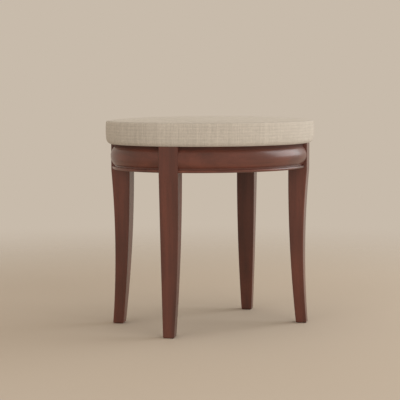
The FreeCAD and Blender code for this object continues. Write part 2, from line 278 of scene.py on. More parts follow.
@dataclass(frozen=True)
class Mahogany:
    """Mahogany stained dark red-brown under a satin lacquer, lighter on its edges from rubbing wear
    and a painted highlight.
    """

    name: str
    grain: Grain
    seed: float
    dark: Colour = linear(64, 33, 25)
    middle: Colour = linear(89, 44, 33)
    light: Colour = linear(113, 58, 44)
    # Edge colour: partly rubbing wear, partly a painted highlight along the arrises.
    edge_wear_and_highlight: Colour = linear(150, 100, 82)
    pore_stain: Colour = linear(38, 18, 14)
    arris: float = 1.6 * MM
    # How strongly the edges take that colour of wear and painted highlight.
    edge_wear_and_highlight_strength: float = 0.55
    roughness: float = 0.42
    coat: float = 0.52
    fibre_depth: float = 0.05 * MM
    seed_step: float = 3.7
    sway: tuple[float, float] = (10 * MM, 6 * MM)
    # Height above which the rails get painted shade in the recessed strip under the seat.
    recess_shade_bottom: Optional[float] = None
    recess_shade_blend: float = 0.5 * MM

    def material(self) -> Material:
        """Build the material.

        Returns:
            The material, with its grain along the piece, and with painted shade and a duller lacquer
            in the recessed strip under the seat.
        """
        g = Graph(self.name)
        parts = g.split(g.place())
        along, across, third = (parts[i] for i in self.grain.value)
        shift = self.seed * self.seed_step
        bend = g.noise(g.join(along * 3.0 + shift, across * 9.0, third * 9.0 + shift)) - 0.5
        way = (along, across + bend * self.sway[0], third + bend * self.sway[1] + shift)
        figure = g.grain(way, 2.2, 46, detail=3.0, roughness=0.55)
        ribbon = g.grain(way, 7.0, 11, shift)
        streak = g.grain(way, 6.0, 330, roughness=0.55)
        fibre = g.grain(way, 14, 900, roughness=0.6)
        pore = g.grain(way, 70, 1500, detail=1.0).within(0.62, 0.74)
        tone = figure * 0.62 + ribbon * 0.38
        stain = g.ramp(tone, ((0.30, self.dark), (0.50, self.middle), (0.72, self.light)))
        stain = g.shade(stain, fibre * 0.30 + streak * 0.34 + 0.68)
        stain = g.mix(pore * 0.45, stain, self.pore_stain)
        cloud = g.grain(parts, 9, 9, shift)
        stain = g.shade(stain, cloud * 0.22 + 0.89)
        patchy = g.noise(g.place(), 130.0).within(0.25, 0.7) * 0.6 + 0.4
        # Lighter edges: rubbing wear together with a painted highlight on the arrises.
        wear_and_highlight = g.edge_nearness(self.arris) * patchy
        colour = g.mix(wear_and_highlight * self.edge_wear_and_highlight_strength, stain, self.edge_wear_and_highlight)
        roughness = self.roughness + (fibre - 0.5) * 0.10 + pore * 0.12 - wear_and_highlight * 0.06
        coat: Operand = self.coat
        # Painted shade in the recessed strip under the seat: the colour is darkened there, and the
        # lacquer made rougher and thinner.
        if self.recess_shade_bottom is not None:
            ends = self.recess_shade_bottom - self.recess_shade_blend, self.recess_shade_bottom + self.recess_shade_blend
            recess_shade = parts[2].within(*ends)
            colour = g.shade(colour, 1 - recess_shade * 0.45)
            roughness = roughness + recess_shade * 0.3
            coat = (1 - recess_shade) * self.coat
        normal = g.bump(fibre * 0.5 - pore * 0.5, self.fibre_depth, 0.5)
        return g.finish(Base_Color=colour, Roughness=roughness, Normal=normal, Coat_Weight=coat,
                        Coat_Roughness=0.22, Specular_IOR_Level=0.48)


@dataclass(frozen=True)
class PlainWood:
    """Planed wood without a finish, with grain, pores and a few darker streaks."""

    name: str
    grain: Grain
    pale: Colour
    deep: Colour
    rings_per_metre: float = 240.0
    roughness: float = 0.72
    soiled: float = 1.5 * MM
    sway: float = 4 * MM
    fibre_depth: float = 0.08 * MM

    def material(self) -> Material:
        """Build the material.

        Returns:
            The material.
        """
        g = Graph(self.name)
        parts = g.split(g.place())
        along, across, third = way = [parts[i] for i in self.grain.value]
        sway = (g.grain(way, 8, 30) - 0.5) * self.sway
        swayed = (along, across + sway, third + sway)
        rings = g.grain(swayed, 3, self.rings_per_metre, roughness=0.55)
        fibre = g.grain(way, 40, 2400, detail=1.0)
        colour = g.mix(rings.within(0.32, 0.72), self.pale, self.deep)
        colour = g.shade(colour, fibre * 0.24 + 0.88)
        colour = g.shade(colour, 1 - g.edge_nearness(self.soiled) * 0.18)
        roughness = self.roughness + (fibre - 0.5) * 0.16
        return g.finish(Base_Color=colour, Roughness=roughness,
                        Normal=g.bump(fibre, self.fibre_depth, 0.6))


@dataclass(frozen=True)
class Plywood:
    """Birch plywood: veneers that change direction through the thickness."""

    name: str
    bottom: float
    veneer: float = 1.5 * MM
    deep: Colour = linear(186, 152, 108)
    pale: Colour = linear(216, 188, 146)
    fibre_depth: float = 0.1 * MM

    def material(self) -> Material:
        """Build the material.

        Returns:
            The material, with its veneers at their heights.
        """
        g = Graph(self.name)
        x, y, z = g.split(g.place())
        layer = math.floor((z - self.bottom) / self.veneer)
        odd = (layer / 2).fraction().above(0.25)
        face_grain = g.noise(g.join(x * 6, y * 160, layer * 5.3), detail=3.0)
        core_grain = g.noise(g.join(x * 160, y * 6, layer * 5.3), detail=3.0)
        tone = face_grain * (1 - odd) + core_grain * odd
        colour = g.ramp(tone, ((0.3, self.deep), (0.7, self.pale)))
        colour = g.shade(colour, 1 - odd * 0.22)
        return g.finish(Base_Color=colour, Roughness=tone * 0.2 + 0.6,
                        Normal=g.bump(tone, self.fibre_depth, 0.4))


@dataclass(frozen=True)
class PlatedSteel:
    """Plated steel of screws and staples, dulled a little, with fine marks."""

    name: str
    colour: Colour
    roughness: float
    mark_depth: float = 0.02 * MM

    def material(self) -> Material:
        """Build the material.

        Returns:
            The material.
        """
        g = Graph(self.name)
        marks = g.noise(g.place(), 2600.0)
        dull = g.noise(g.place(), 420.0).within(0.35, 0.75)
        colour = g.mix(dull * 0.45, self.colour, tuple(0.55 * c for c in self.colour))
        roughness = self.roughness + marks * 0.16 + dull * 0.14
        return g.finish(Base_Color=colour, Metallic=1.0, Roughness=roughness,
                        Normal=g.bump(marks, self.mark_depth, 0.5))


@dataclass(frozen=True)
class Linen:
    """Plain-weave oatmeal linen with slubs, read from the cloth attribute of the pad.

    The attribute gives the place on the cloth in metres, across and along the threads, and the
    distance from the seam, which is above zero on the top panel and below it on the band.
    """

    name: str = "oatmeal_linen"
    pitch: float = 1.3 * MM
    warp: Colour = linear(201, 195, 186)
    weft: Colour = linear(189, 182, 171)
    # Painted shade in the gaps between the threads.
    gap: Colour = linear(148, 139, 127)
    fleck: Colour = linear(150, 124, 92)
    thread_depth: float = 0.22 * MM
    pucker_depth: float = 0.7 * MM
    # Width of the painted shade along the seam.
    seam_shade_width: float = 1.4 * MM
    join_width: float = 1.2 * MM
    pull_reach: tuple[float, float] = (1.0 * MM, 9.0 * MM)
    join_at: float = 0.0

    def _thread(self, g: Graph, number: Value, along: Value, salt: float) -> Value:
        """Give each thread its own brightness, with slubs that come and go along it.

        Args:
            g: The material's graph.
            number: The thread's number.
            along: The place along it, in threads.
            salt: Sets the two ways of the threads apart.

        Returns:
            The brightness, about one.
        """
        own = g.chance(g.join(number, salt, 0.0)) - 0.5
        slub = g.noise(g.join(number * 5.37, along * 0.11, salt), roughness=0.6) - 0.5
        streak = g.noise(g.join(number * 1.1, along * 0.05, salt + 9), roughness=0.55) - 0.5
        return 1 + own * 0.26 + slub * 0.62 + streak * 0.36

    @staticmethod
    def _height(across: Value, over: Value) -> Value:
        """Height of a thread, round across it and higher where it passes over the others."""
        return (across.fraction() * math.pi).sine() * (over * 0.36 + 0.64)

    def material(self) -> Material:
        """Build the material.

        Returns:
            The material.
        """
        g = Graph(self.name)
        cloth = g.node("ShaderNodeAttribute", {"attribute_name": "cloth"}).outputs["Vector"]
        u, v, run = g.split(cloth)
        wander = g.noise(g.join(u, v), 42.0) - 0.5
        a = u / self.pitch + wander * 0.8
        b = v / self.pitch + wander * 0.6
        ia, ib = math.floor(a), math.floor(b)
        over_warp = ((b + ia - 0.5) * math.pi).cosine()
        over_weft = ((a + ib - 0.5) * math.pi).cosine() * -1.0
        high_warp, high_weft = self._height(a, over_warp), self._height(b, over_weft)
        height = high_warp.larger(high_weft)
        warp_on_top = high_warp.above(high_weft)
        warp = g.shade(self.warp, self._thread(g, ia, b, 3.1))
        weft = g.shade(self.weft, self._thread(g, ib, a, 17.7))
        colour = g.mix(warp_on_top, weft, warp)
        # Painted shade where the threads dip, in the gaps between them.
        colour = g.mix((1 - height.within(0.25, 0.75)) * 0.55, colour, self.gap)
        fleck = g.noise(g.join(u, v, 5.0), 620.0, 1.0).within(0.66, 0.76)
        colour = g.mix(fleck * 0.22, colour, self.fleck)
        tint = g.noise(g.join(u, v, 2.0), 16.0)
        colour = g.shade(colour, tint * 0.10 + 0.95)
        # Painted shade along the seam and the band's join, over the modelled groove and puckers.
        seam = 1 - abs(run).within(0.0, self.seam_shade_width)
        from_join = self.join_at - abs(u) + run.above(0.0)
        band_join = 1 - from_join.within(0.0, self.join_width)
        line = seam.larger(band_join)
        colour = g.shade(colour, 1 - line * 0.30)
        near = 1 - abs(run).within(*self.pull_reach)
        pull = g.noise(g.join(u * 150, v * 18, 1.0), detail=1.0) * near
        threads = g.bump(height, self.thread_depth, 0.55)
        normal = g.bump(pull * 0.6 - band_join * 0.8, self.pucker_depth, 0.5, Normal=threads)
        return g.finish(Base_Color=colour, Roughness=0.95 - height * 0.12, Normal=normal,
                        Specular_IOR_Level=0.2, Sheen_Weight=0.22, Sheen_Roughness=0.5,
                        Sheen_Tint=(0.95, 0.9, 0.82, 1.0))


@dataclass(frozen=True)
class BlackCloth:
    """Thin bonded black cloth with fibres lying every way."""

    name: str = "black_bonded_cloth"
    deep: Colour = linear(24, 24, 25)
    pale: Colour = linear(52, 51, 51)
    bonded: Colour = linear(16, 16, 17)
    fibre_depth: float = 0.12 * MM

    def material(self) -> Material:
        """Build the material.

        Returns:
            The material.
        """
        g = Graph(self.name)
        x, y, _ = g.split(g.place())
        one_way = g.noise(g.join((x + y) * 2400, (x - y) * 300), detail=1.0)
        other_way = g.noise(g.join((x + y) * 300, (x - y) * 2400, 4.0), detail=1.0)
        fibre = one_way.larger(other_way)
        bond = g.noise(g.join(x, y), 900.0, 1.0).within(0.55, 0.7)
        colour = g.mix(fibre.within(0.45, 0.8), self.deep, self.pale)
        colour = g.mix(bond * 0.4, colour, self.bonded)
        normal = g.bump(fibre - bond * 0.4, self.fibre_depth, 0.6)
        return g.finish(Base_Color=colour, Roughness=0.9 - bond * 0.2, Normal=normal,
                        Specular_IOR_Level=0.25)


@dataclass(frozen=True)
class PaleFloor:
    """Plain pale matt floor."""

    name: str = "pale_floor"
    colour: Colour = linear(194, 182, 167)
    fade_from: float = 0.5
    fade_to: float = 2.2

    def material(self) -> Material:
        """Build the material.

        Returns:
            The material, with a faint cloudiness.
        """
        g = Graph(self.name)
        cloud = g.noise(g.place(), 1.6, 3.0)
        x, y, _ = g.split(g.place())
        reach = (x * x + y * y).root()
        fade = 1 - reach.within(self.fade_from, self.fade_to)
        return g.finish(Base_Color=g.shade(self.colour, cloud * 0.04 + 0.98), Roughness=0.8,
                        Specular_IOR_Level=0.25, Alpha=fade)


# Plan and section of the seat


def running_length(points: Points) -> Points:
    """Distance along a line of points from the first one to each."""
    steps = np.linalg.norm(np.diff(points, axis=0), axis=1)
    return np.concatenate(((0.0,), np.cumsum(steps)))


@dataclass(frozen=True)
class OvalPlan:
    """Four-centre oval of the stool, whose arcs meet on the centre lines of the legs."""

    half_length: float = 231 * MM
    half_width: float = 192 * MM
    end_steps: int = 46
    side_steps: int = 74

    @property
    def shift(self) -> float:
        """Distance of the arc centres from the middle."""
        return (self.half_length - self.half_width) / (2 - math.sqrt(2))

    def _arcs(self) -> list[tuple[float, float, float, float, float, int]]:
        """The arcs in order from the middle of the back: centre, radius, angles and steps."""
        end = self.half_length - self.shift
        side = self.half_width + self.shift
        half = self.side_steps // 2
        return [
            (0.0, -self.shift, side, 2 * QUARTER, 3 * QUARTER, half),
            (-self.shift, 0.0, end, 3 * QUARTER, 5 * QUARTER, self.end_steps),
            (0.0, self.shift, side, 5 * QUARTER, 7 * QUARTER, self.side_steps),
            (self.shift, 0.0, end, 7 * QUARTER, 9 * QUARTER, self.end_steps),
            (0.0, -self.shift, side, 9 * QUARTER, 10 * QUARTER, self.side_steps - half),
        ]

    def stations(self) -> tuple[Points, Points]:
        """Places round the oval.

        Returns:
            The master oval's points and its outward directions.
        """
        points, outward = [], []
        for x, y, radius, start, end, steps in self._arcs():
            for step in range(steps):
                angle = start + (end - start) * step / steps
                facing = np.array((math.cos(angle), math.sin(angle)))
                points.append(np.array((x, y)) + radius * facing)
                outward.append(facing)
        return np.array(points), np.array(outward)

    def corners(self) -> tuple[int, int, int, int]:
        """Numbers of the places where the arcs meet, in order."""
        steps = [arc[-1] for arc in self._arcs()]
        return steps[0], sum(steps[:2]), sum(steps[:3]), sum(steps[:4])

    def ring(self, offset: float) -> Points:
        """Points of the oval at an offset from the master one."""
        points, outward = self.stations()
        return points + outward * offset

    def offset_of(self, points: Points) -> Points:
        """Distance outward from the master oval of points in plan, below zero inside it."""
        x, y = np.abs(points[:, 0]), np.abs(points[:, 1])
        end = np.hypot(x - self.shift, y) - (self.half_length - self.shift)
        side = np.hypot(x, y + self.shift) - (self.half_width + self.shift)
        return np.where(y < x - self.shift, end, side)

    def run_round(self, offset: float) -> Points:
        """Distance from the middle of the back to each place, and the full round last."""
        ring = self.ring(offset)
        return running_length(np.vstack((ring, ring[:1])))


def arc_points(start: tuple[float, float], middle: tuple[float, float], end: tuple[float, float],
               count: int) -> list[tuple[float, float]]:
    """Points along the arc through three points.

    Args:
        start: First point.
        middle: A point between.
        end: Last point.
        count: How many steps.

    Returns:
        The points after the first one, the last one among them.
    """
    (ax, ay), (bx, by), (cx, cy) = start, middle, end
    d = 2 * (ax * (by - cy) + bx * (cy - ay) + cx * (ay - by))
    a2, b2, c2 = ax * ax + ay * ay, bx * bx + by * by, cx * cx + cy * cy
    ox = (a2 * (by - cy) + b2 * (cy - ay) + c2 * (ay - by)) / d
    oy = (a2 * (cx - bx) + b2 * (ax - cx) + c2 * (bx - ax)) / d
    radius = math.hypot(ax - ox, ay - oy)
    first, last = math.atan2(ay - oy, ax - ox), math.atan2(cy - oy, cx - ox)
    turn = (last - first + math.pi) % (2 * math.pi) - math.pi
    angles = (first + turn * i / count for i in range(1, count + 1))
    return [(ox + radius * math.cos(angle), oy + radius * math.sin(angle)) for angle in angles]


@dataclass(frozen=True)
class Rows:
    """How many rows each stretch of the pad's outside has, and how they crowd to the rim."""

    turn: int
    side: int
    below_seam: int
    above_seam: int
    crown: int
    crowding: float = 1.0


FINE_ROWS = Rows(turn=9, side=14, below_seam=14, above_seam=6, crown=30, crowding=1.35)
CLOTH_ROWS = Rows(turn=3, side=5, below_seam=1, above_seam=1, crown=20)


@dataclass(frozen=True)
class PadSection:
    """Section of the pad, whose points are (offset from the master oval, height)."""

    overhang: float = 11 * MM
    bottom: float = 404.5 * MM
    side_height: float = 50 * MM
    crown: float = 8 * MM
    belly: float = 1.2 * MM
    round_in: float = 8.5 * MM
    round_up: float = 12.5 * MM
    top_round: float = 4 * MM
    crown_reach: float = 120 * MM
    hem_width: float = 55 * MM
    cloth: float = 1.2 * MM
    wadding: float = 4 * MM
    board: float = 12 * MM
    board_round: float = 8 * MM
    clearance: float = 0.15 * MM
    seam_turn: float = 62.0
    hem_rows: int = 8
    board_rows: tuple[int, int, int] = (5, 4, 8)

    def outer(self, counts: Rows) -> tuple[Profile, int]:
        """The outside of the pad.

        Args:
            counts: How many rows it gets.

        Returns:
            The points, and the number of the seam's point among them.
        """
        side = self.overhang - self.belly
        edge = self.bottom + self.side_height
        hem_edge = self.overhang - self.hem_width
        flat_end = side - self.round_in
        rows = self._level(hem_edge, flat_end, self.bottom, self.hem_rows)
        radius = (self.round_in ** 2 + self.round_up ** 2) / (2 * self.round_in)
        half = math.asin(self.round_up / radius) / 2
        turn_top = (side, self.bottom + self.round_up)
        middle = (side - radius * (1 - math.cos(half)), turn_top[1] - radius * math.sin(half))
        rows += arc_points(rows[-1], middle, turn_top, counts.turn)
        upper = edge - self.top_round
        bulge = (self.overhang, (turn_top[1] + upper) / 2)
        rows += arc_points(turn_top, bulge, (side, upper), counts.side)
        rim = side - self.top_round
        turn = math.radians(self.seam_turn)
        at_seam = self._on_round(rim, upper, turn)
        below, above = (self._on_round(rim, upper, a) for a in (turn / 2, (turn + 2 * QUARTER) / 2))
        rows += arc_points((side, upper), below, at_seam, counts.below_seam)
        seam = len(rows) - 1
        rows += arc_points(at_seam, above, (rim, edge), counts.above_seam)
        reach = rim + self.crown_reach
        big = (reach ** 2 + self.crown ** 2) / (2 * self.crown)
        angle = math.asin(reach / big)
        low = edge + self.crown - big
        for i in range(1, counts.crown + 1):
            lean = angle * (1 - (i / counts.crown) ** counts.crowding)
            rows.append((big * math.sin(lean) - self.crown_reach, low + big * math.cos(lean)))
        return rows, seam

    @staticmethod
    def _level(start: float, end: float, height: float, count: int) -> list[tuple[float, float]]:
        """Points at one height, both ends among them."""
        return [(start + (end - start) * i / count, height) for i in range(count + 1)]

    def _on_round(self, rim: float, upper: float, angle: float) -> tuple[float, float]:
        """A point of the round at the top edge."""
        return rim + self.top_round * math.cos(angle), upper + self.top_round * math.sin(angle)

    def inner(self) -> Profile:
        """The inside of the pad, which lies close round the board.

        Returns:
            The points, from the hem's edge to the top of the board.
        """
        gap = self.clearance
        under = self.bottom + self.cloth - gap
        top = self.bottom + self.cloth + self.board + gap
        outside = self.overhang - self.cloth - self.wadding + gap
        hem_edge = self.overhang - self.hem_width
        r = self.board_round + gap
        below, turn, above = self.board_rows
        rows = self._level(hem_edge, outside - r, under, below)
        bend = r * (1 - math.cos(QUARTER))
        rows += arc_points(rows[-1], (outside - bend, under + bend), (outside, under + r), turn)
        return rows + self._level(outside, -self.crown_reach, top, above)


class RingMesh:
    """Closed mesh of rings round the oval, with a patch of quads on the top and on the bottom."""

    def __init__(self, plan: OvalPlan, upper: Profile, lower: Profile) -> None:
        """Place the rings.

        Args:
            plan: The oval.
            upper: Rings of the outside, from the first one to the patch on the top.
            lower: Rings of the inside, from the first one to the other patch.
        """
        self.plan = plan
        self.rows = list(reversed(lower)) + list(upper)
        self.first_outer = len(lower)
        self.around = len(plan.ring(0.0))
        self.ring_points = self.placed(self.rows)
        self.patch_shape = (plan.side_steps + 1, plan.end_steps + 1)

    def placed(self, rows: Profile) -> Points:
        """Rings of points for rows of a section."""
        return np.array([np.column_stack((self.plan.ring(offset), np.full(self.around, height)))
                         for offset, height in rows])

    def patch(self, ring: Points) -> Points:
        """Grid of points inside a ring, blended from its four sides.

        Args:
            ring: The ring's points.

        Returns:
            The grid, one side step by one end step.
        """
        a, b, c, d = self.plan.corners()
        left, front, right, back = (ring[side] for side in self._sides())
        m, n = self.patch_shape
        u = np.linspace(0, 1, m)[:, None, None]
        v = np.linspace(0, 1, n)[None, :, None]
        blend = ((1 - v) * front[:, None, :] + v * back[:, None, :]
                 + (1 - u) * left[None, :, :] + u * right[None, :, :])
        corner = (1 - u) * (1 - v) * ring[b] + u * (1 - v) * ring[c]
        corner += (1 - u) * v * ring[a]
        corner += u * v * ring[d]
        return blend - corner

    def _sides(self) -> tuple[Points, ...]:
        """Places of a patch's left, front, right and back sides, each in the grid's direction."""
        a, b, c, d = self.plan.corners()
        order = np.arange(self.around)
        back = np.concatenate((order[d:], order[:a + 1]))
        return order[a:b + 1][::-1], order[b:c + 1], order[c:d + 1], back[::-1]

    def patch_numbers(self, row: int, start: int) -> Points:
        """Vertex numbers of a patch's grid, whose edge is a ring.

        Args:
            row: The ring.
            start: Number of the patch's first own vertex.

        Returns:
            The grid of numbers.
        """
        left, front, right, back = (row * self.around + side for side in self._sides())
        m, n = self.patch_shape
        grid = np.full((m, n), -1)
        grid[:, 0], grid[-1, :], grid[0, :], grid[:, -1] = front, right, left, back
        grid[1:-1, 1:-1] = start + np.arange((m - 2) * (n - 2)).reshape(m - 2, n - 2)
        return grid

    def vertices(self, rings: Optional[Points] = None, top: Optional[Points] = None) -> Points:
        """All vertices.

        Args:
            rings: The rings, if they have moved.
            top: The top patch, if it has moved.

        Returns:
            The rings' points, the top patch's own and the bottom patch's own.
        """
        rings = self.ring_points if rings is None else rings
        top = self.patch(rings[-1]) if top is None else top
        bottom = self.patch(rings[0])
        return np.concatenate((rings.reshape(-1, 3), top[1:-1, 1:-1].reshape(-1, 3),
                               bottom[1:-1, 1:-1].reshape(-1, 3)))

    def faces(self) -> tuple[list[Sequence[int]], list[int]]:
        """All faces.

        Returns:
            The faces, and the ring of each, or minus one on the top patch and minus two below.
        """
        faces, kinds = [], []
        n = self.around
        for row in range(len(self.rows) - 1):
            low, high = row * n, (row + 1) * n
            for i in range(n):
                j = (i + 1) % n
                faces.append((low + i, low + j, high + j, high + i))
                kinds.append(row)
        start = len(self.rows) * n
        inside = (self.patch_shape[0] - 2) * (self.patch_shape[1] - 2)
        for kind, grid in ((-1, self.patch_numbers(len(self.rows) - 1, start)),
                           (-2, self.patch_numbers(0, start + inside)[::-1])):
            quads = np.dstack((grid[:-1, :-1], grid[1:, :-1], grid[1:, 1:], grid[:-1, 1:]))
            faces += quads.reshape(-1, 4).tolist()
            kinds += [kind] * (quads.shape[0] * quads.shape[1])
        return faces, kinds


def mesh_object(name: str, points: Points, faces: Iterable[Sequence[int]]) -> Piece:
    """Make a smooth mesh object.

    Args:
        name: Its name.
        points: Its vertices.
        faces: Its faces.

    Returns:
        The object.
    """
    mesh = bpy.data.meshes.new(name)
    mesh.from_pydata(points.tolist(), [], [list(face) for face in faces])
    mesh.polygons.foreach_set("use_smooth", [True] * len(mesh.polygons))
    mesh.update()
    made = bpy.data.objects.new(name, mesh)
    bpy.context.scene.collection.objects.link(made)
    return made


def dress(piece: Piece, material: Material) -> None:
    """Give a piece one material for all its faces.

    Args:
        piece: The piece.
        material: Its material.
    """
    if not piece.material_slots:
        piece.data.materials.append(material)
    for slot in piece.material_slots:
        slot.link = "OBJECT"
        slot.material = material
    LOG.info("%s: %s", piece.name, material.name)


# Sub-assemblies


@dataclass
class Frame:
    """Legs, rails and beads of polished mahogany."""

    corners: tuple[str, ...] = ("front_left", "front_right", "back_left", "back_right")
    sides: tuple[str, ...] = ("front", "back", "left", "right")
    # Height above which the rails get painted shade in their recessed strip.
    recess_shade_bottom: float = 397 * MM

    def dress(self) -> None:
        """Give every polished piece its grain, stain, wear and painted highlight on the edges, and
        the rails painted shade in their recessed strip.
        """
        for number, corner in enumerate(self.corners):
            leg = Mahogany("mahogany_leg_" + corner, Grain.UPRIGHT, 1.3 + number)
            dress(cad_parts["leg_" + corner], leg.material())
        for number, side in enumerate(self.sides):
            grain = Grain.LONG if side in ("front", "back") else Grain.CROSS
            rail = Mahogany("mahogany_rail_" + side, grain, 7.1 + number, edge_wear_and_highlight_strength=0.25,
                            recess_shade_bottom=self.recess_shade_bottom, dark=linear(76, 39, 30),
                            middle=linear(95, 48, 36), light=linear(115, 60, 46))
            # The beads get a wider arris, so their wear and painted highlight spread further over
            # the small bead.
            bead = Mahogany("mahogany_bead_" + side, grain, 12.9 + number, edge_wear_and_highlight_strength=0.5,
                            arris=2.4 * MM, middle=linear(92, 47, 36), light=linear(122, 68, 52))
            dress(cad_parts["rail_" + side], rail.material())
            dress(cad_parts["bead_" + side], bead.material())


@dataclass
class Underframe:
    """Corner blocks, dowels, screws, staples and the board."""

    board_bottom: float = 405.7 * MM

    def dress(self) -> None:
        """Give the hidden pieces their finishes."""
        block = PlainWood("planed_block_wood", Grain.LONG, pale=linear(196, 160, 114),
                          deep=linear(160, 120, 78))
        beech = PlainWood("beech_dowel", Grain.LONG, pale=linear(214, 182, 136),
                          deep=linear(188, 150, 104), rings_per_metre=500.0)
        screw = PlatedSteel("plated_screw", linear(206, 202, 190), 0.28)
        staple = PlatedSteel("staple_wire", linear(198, 199, 201), 0.22)
        board = Plywood("birch_plywood", self.board_bottom)
        blocks = tuple("corner_block_" + corner for corner in Frame.corners)
        for finish, nodes in ((block, blocks), (beech, ("rail_dowels",)), (board, ("seat_board",)),
                              (screw, ("block_screws", "seat_screws")), (staple, ("seat_staples",))):
            material = finish.material()
            for node in nodes:
                dress(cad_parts[node], material)


@dataclass
class Pad:
    """The upholstered pad: foam and wadding under a boxed linen cover, turned under the board."""

    plan: OvalPlan = OvalPlan()
    section: PadSection = PadSection()
    side_slack: float = 0.5 * MM
    top_slack: float = 4.0 * MM
    top_reach: float = 60 * MM
    pressure: float = 4.0
    frames: int = 20
    cap: float = 6.0 * MM
    held_edge: float = 3.0 * MM
    far_from_seam: float = 50 * MM
    groove: float = 0.7 * MM
    groove_reach: float = 1.3 * MM

    def build(self) -> Piece:
        """Make the pad and dress it.

        Returns:
            The pad, which stands for foam, wadding and cover.
        """
        rows, seam = self.section.outer(FINE_ROWS)
        form = RingMesh(self.plan, rows, self.section.inner())
        rings, top = form.ring_points, None
        rings, top = self._swell(form)
        runs = running_length(np.array(rows))
        runs -= runs[seam]
        rings = self._seam_groove(rings, form.first_outer, runs)
        faces, kinds = form.faces()
        piece = mesh_object("seat_pad", form.vertices(rings, top), faces)
        self._lay_cloth(piece, form, kinds, runs, seam)
        dress(piece, Linen(join_at=self.plan.run_round(self.section.overhang)[-1] / 2).material())
        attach(piece, "root")
        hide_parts("seat_cover", "seat_wadding", "seat_foam")
        return piece

    def _slacken(self, rows: Profile) -> Profile:
        """The section before it swells, with a lower top panel and the band drawn in.

        Args:
            rows: The finished section.

        Returns:
            The slack one.
        """
        section = self.section
        rim = section.overhang - section.belly - section.top_round
        turn = section.bottom + section.round_up
        upper = section.bottom + section.side_height - section.top_round
        drawn = []
        for offset, z in rows:
            inside = min(1.0, max(0.0, (rim - offset) / self.top_reach))
            band = min(1.0, max(0.0, (z - turn) / (upper - turn))) if offset > rim else 0.0
            drawn.append((offset - self.side_slack * math.sin(math.pi * band),
                          z - self.top_slack * inside * inside * (3 - 2 * inside)))
        return drawn

    def _swell(self, form: RingMesh) -> tuple[Points, Points]:
        """Blow the cover up from a slightly smaller form with a cloth simulation.

        Args:
            form: The finished rings.

        Returns:
            The rings and the top patch, moved as the cloth moved.
        """
        rows, seam = self.section.outer(CLOTH_ROWS)
        coarse = RingMesh(self.plan, self._slacken(rows), self.section.inner())
        start = coarse.vertices()
        faces, _ = coarse.faces()
        cloth = mesh_object("pad_cloth", start, faces)
        self._pin(cloth, start, coarse, seam)
        self._set_cloth(cloth)
        scene = bpy.context.scene
        for number in range(1, self.frames + 1):
            scene.frame_set(number)
        result = cloth.evaluated_get(bpy.context.evaluated_depsgraph_get())
        moved = np.array([v.co for v in result.data.vertices])
        scene.frame_set(1)
        bpy.data.objects.remove(cloth, do_unlink=True)
        move = moved - start
        length = np.linalg.norm(move, axis=1, keepdims=True)
        move *= np.minimum(1.0, self.cap / np.maximum(length, 1e-9))
        LOG.info("pad cloth: moved up to %.1f mm", float(length.max()) / MM)
        return self._follow(form, coarse, rows, move)

    @staticmethod
    def _follow(form: RingMesh, coarse: RingMesh, rows: Profile,
                move: Points) -> tuple[Points, Points]:
        """Carry the cloth's place over to the finished rings.

        Args:
            form: The finished rings.
            coarse: The cloth's rings.
            rows: The cloth's section before it was drawn in.
            move: How far each of the cloth's vertices moved.

        Returns:
            The finished rings and the top patch.
        """
        n = coarse.around
        placed = coarse.ring_points + move[:len(coarse.rows) * n].reshape(-1, n, 3)
        change = placed[coarse.first_outer:] - coarse.placed(rows)
        old = running_length(np.array(rows))
        new = running_length(np.array(form.rows[form.first_outer:]))
        old, new = old / old[-1], new / new[-1]
        rings = form.ring_points.copy()
        for number, place in enumerate(new, form.first_outer):
            after = int(np.clip(np.searchsorted(old, place), 1, len(old) - 1))
            share = (place - old[after - 1]) / (old[after] - old[after - 1])
            blend = np.clip(share, 0, 1)
            rings[number] += (1 - blend) * change[after - 1] + blend * change[after]
        m, k = coarse.patch_shape
        own = len(coarse.rows) * n
        lifted = move[own:own + (m - 2) * (k - 2)].reshape(m - 2, k - 2, 3)
        top = form.patch(rings[-1])
        top[1:-1, 1:-1] = coarse.patch(coarse.ring_points[-1])[1:-1, 1:-1] + lifted
        return rings, top

    def _pin(self, cloth: Piece, points: Points, form: RingMesh, seam: int) -> None:
        """Hold the inside, the hem and the seam.

        Args:
            cloth: The cloth.
            points: Its vertices.
            form: Its rings.
            seam: Number of the seam's row among the outer ones.
        """
        group = cloth.vertex_groups.new(name="held")
        first, last = form.first_outer * form.around, len(form.rows) * form.around
        own_top = (form.patch_shape[0] - 2) * (form.patch_shape[1] - 2)
        number = np.arange(len(points))
        outside = (number >= first) & (number < last + own_top)
        on_seam = (number - first) // form.around == seam
        free = outside & ~on_seam & (points[:, 2] > self.section.bottom + self.held_edge)
        group.add(np.flatnonzero(~free).tolist(), 1.0, "REPLACE")

    def _set_cloth(self, cloth: Piece) -> None:
        """Add the cloth and its pressure.

        Args:
            cloth: The cloth's mesh, with its held vertices in a group.
        """
        made = cloth.modifiers.new("swell", "CLOTH")
        chosen = {"quality": 6, "mass": 0.3, "tension_stiffness": 25, "compression_stiffness": 25,
                  "shear_stiffness": 12, "bending_stiffness": 3, "use_pressure": True,
                  "uniform_pressure_force": self.pressure, "vertex_group_mass": "held"}
        for key, setting in chosen.items():
            setattr(made.settings, key, setting)
        made.settings.effector_weights.gravity = 0.0
        made.point_cache.frame_start, made.point_cache.frame_end = 1, self.frames

    def _seam_groove(self, rings: Points, first: int, runs: Points) -> Points:
        """Draw the cloth in along the seam that joins top and band.

        Args:
            rings: All the rings.
            first: Number of the first outer ring.
            runs: Distance of each outer ring from the seam.

        Returns:
            The rings with the groove.
        """
        _, outward = self.plan.stations()
        turn = math.radians(self.section.seam_turn)
        level = np.column_stack((outward, np.zeros(len(outward))))
        direction = level * math.cos(turn) + np.array((0.0, 0.0, math.sin(turn)))
        depth = self.groove * np.exp(-(runs / self.groove_reach) ** 2)
        drawn = rings.copy()
        drawn[first:] -= direction[None, :, :] * depth[:, None, None]
        return drawn

